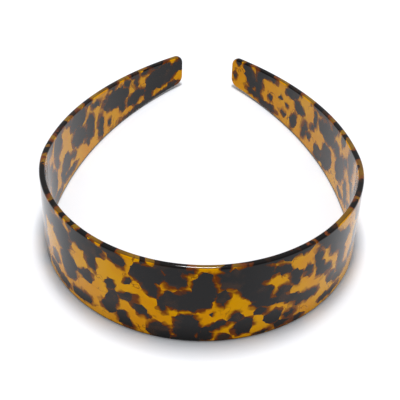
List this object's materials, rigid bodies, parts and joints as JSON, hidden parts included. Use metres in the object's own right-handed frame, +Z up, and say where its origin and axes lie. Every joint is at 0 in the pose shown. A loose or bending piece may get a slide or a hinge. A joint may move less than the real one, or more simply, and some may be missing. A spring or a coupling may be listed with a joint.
{
  "type": "headband",
  "caption": "Wide one-strip acetate headband: a round crown and two tapering springy arms with rounded tips, tortoiseshell pattern.",
  "frame": {"origin": "on the surface it lies on, under the middle of the bounding box", "axes": "+Z up across the band's width, from the lower edge to the upper edge; -Y towards the crown, +Y towards the tips; +X towards the right arm"},
  "size_m": [0.135, 0.1772, 0.0404],
  "materials": {
    "acetate": "polished tortoiseshell cellulose acetate"
  },
  "bodies": {
    "crown": {"crown": "acetate"},
    "left_arm": {"left_arm": "acetate"},
    "right_arm": {"right_arm": "acetate"}
  },
  "joints": [
    {"name": "left_arm_spring", "type": "hinge", "parent": "crown", "child": "left_arm", "pos_m": [-0.05171, -0.06447, 0.02], "axis": [0, 0, 1], "range_deg": [-4, 20], "stiffness_Nm_per_rad": 0.85},
    {"name": "right_arm_spring", "type": "hinge", "parent": "crown", "child": "right_arm", "pos_m": [0.05171, -0.06447, 0.02], "axis": [0, 0, -1], "range_deg": [-4, 20], "stiffness_Nm_per_rad": 0.85}
  ]
}
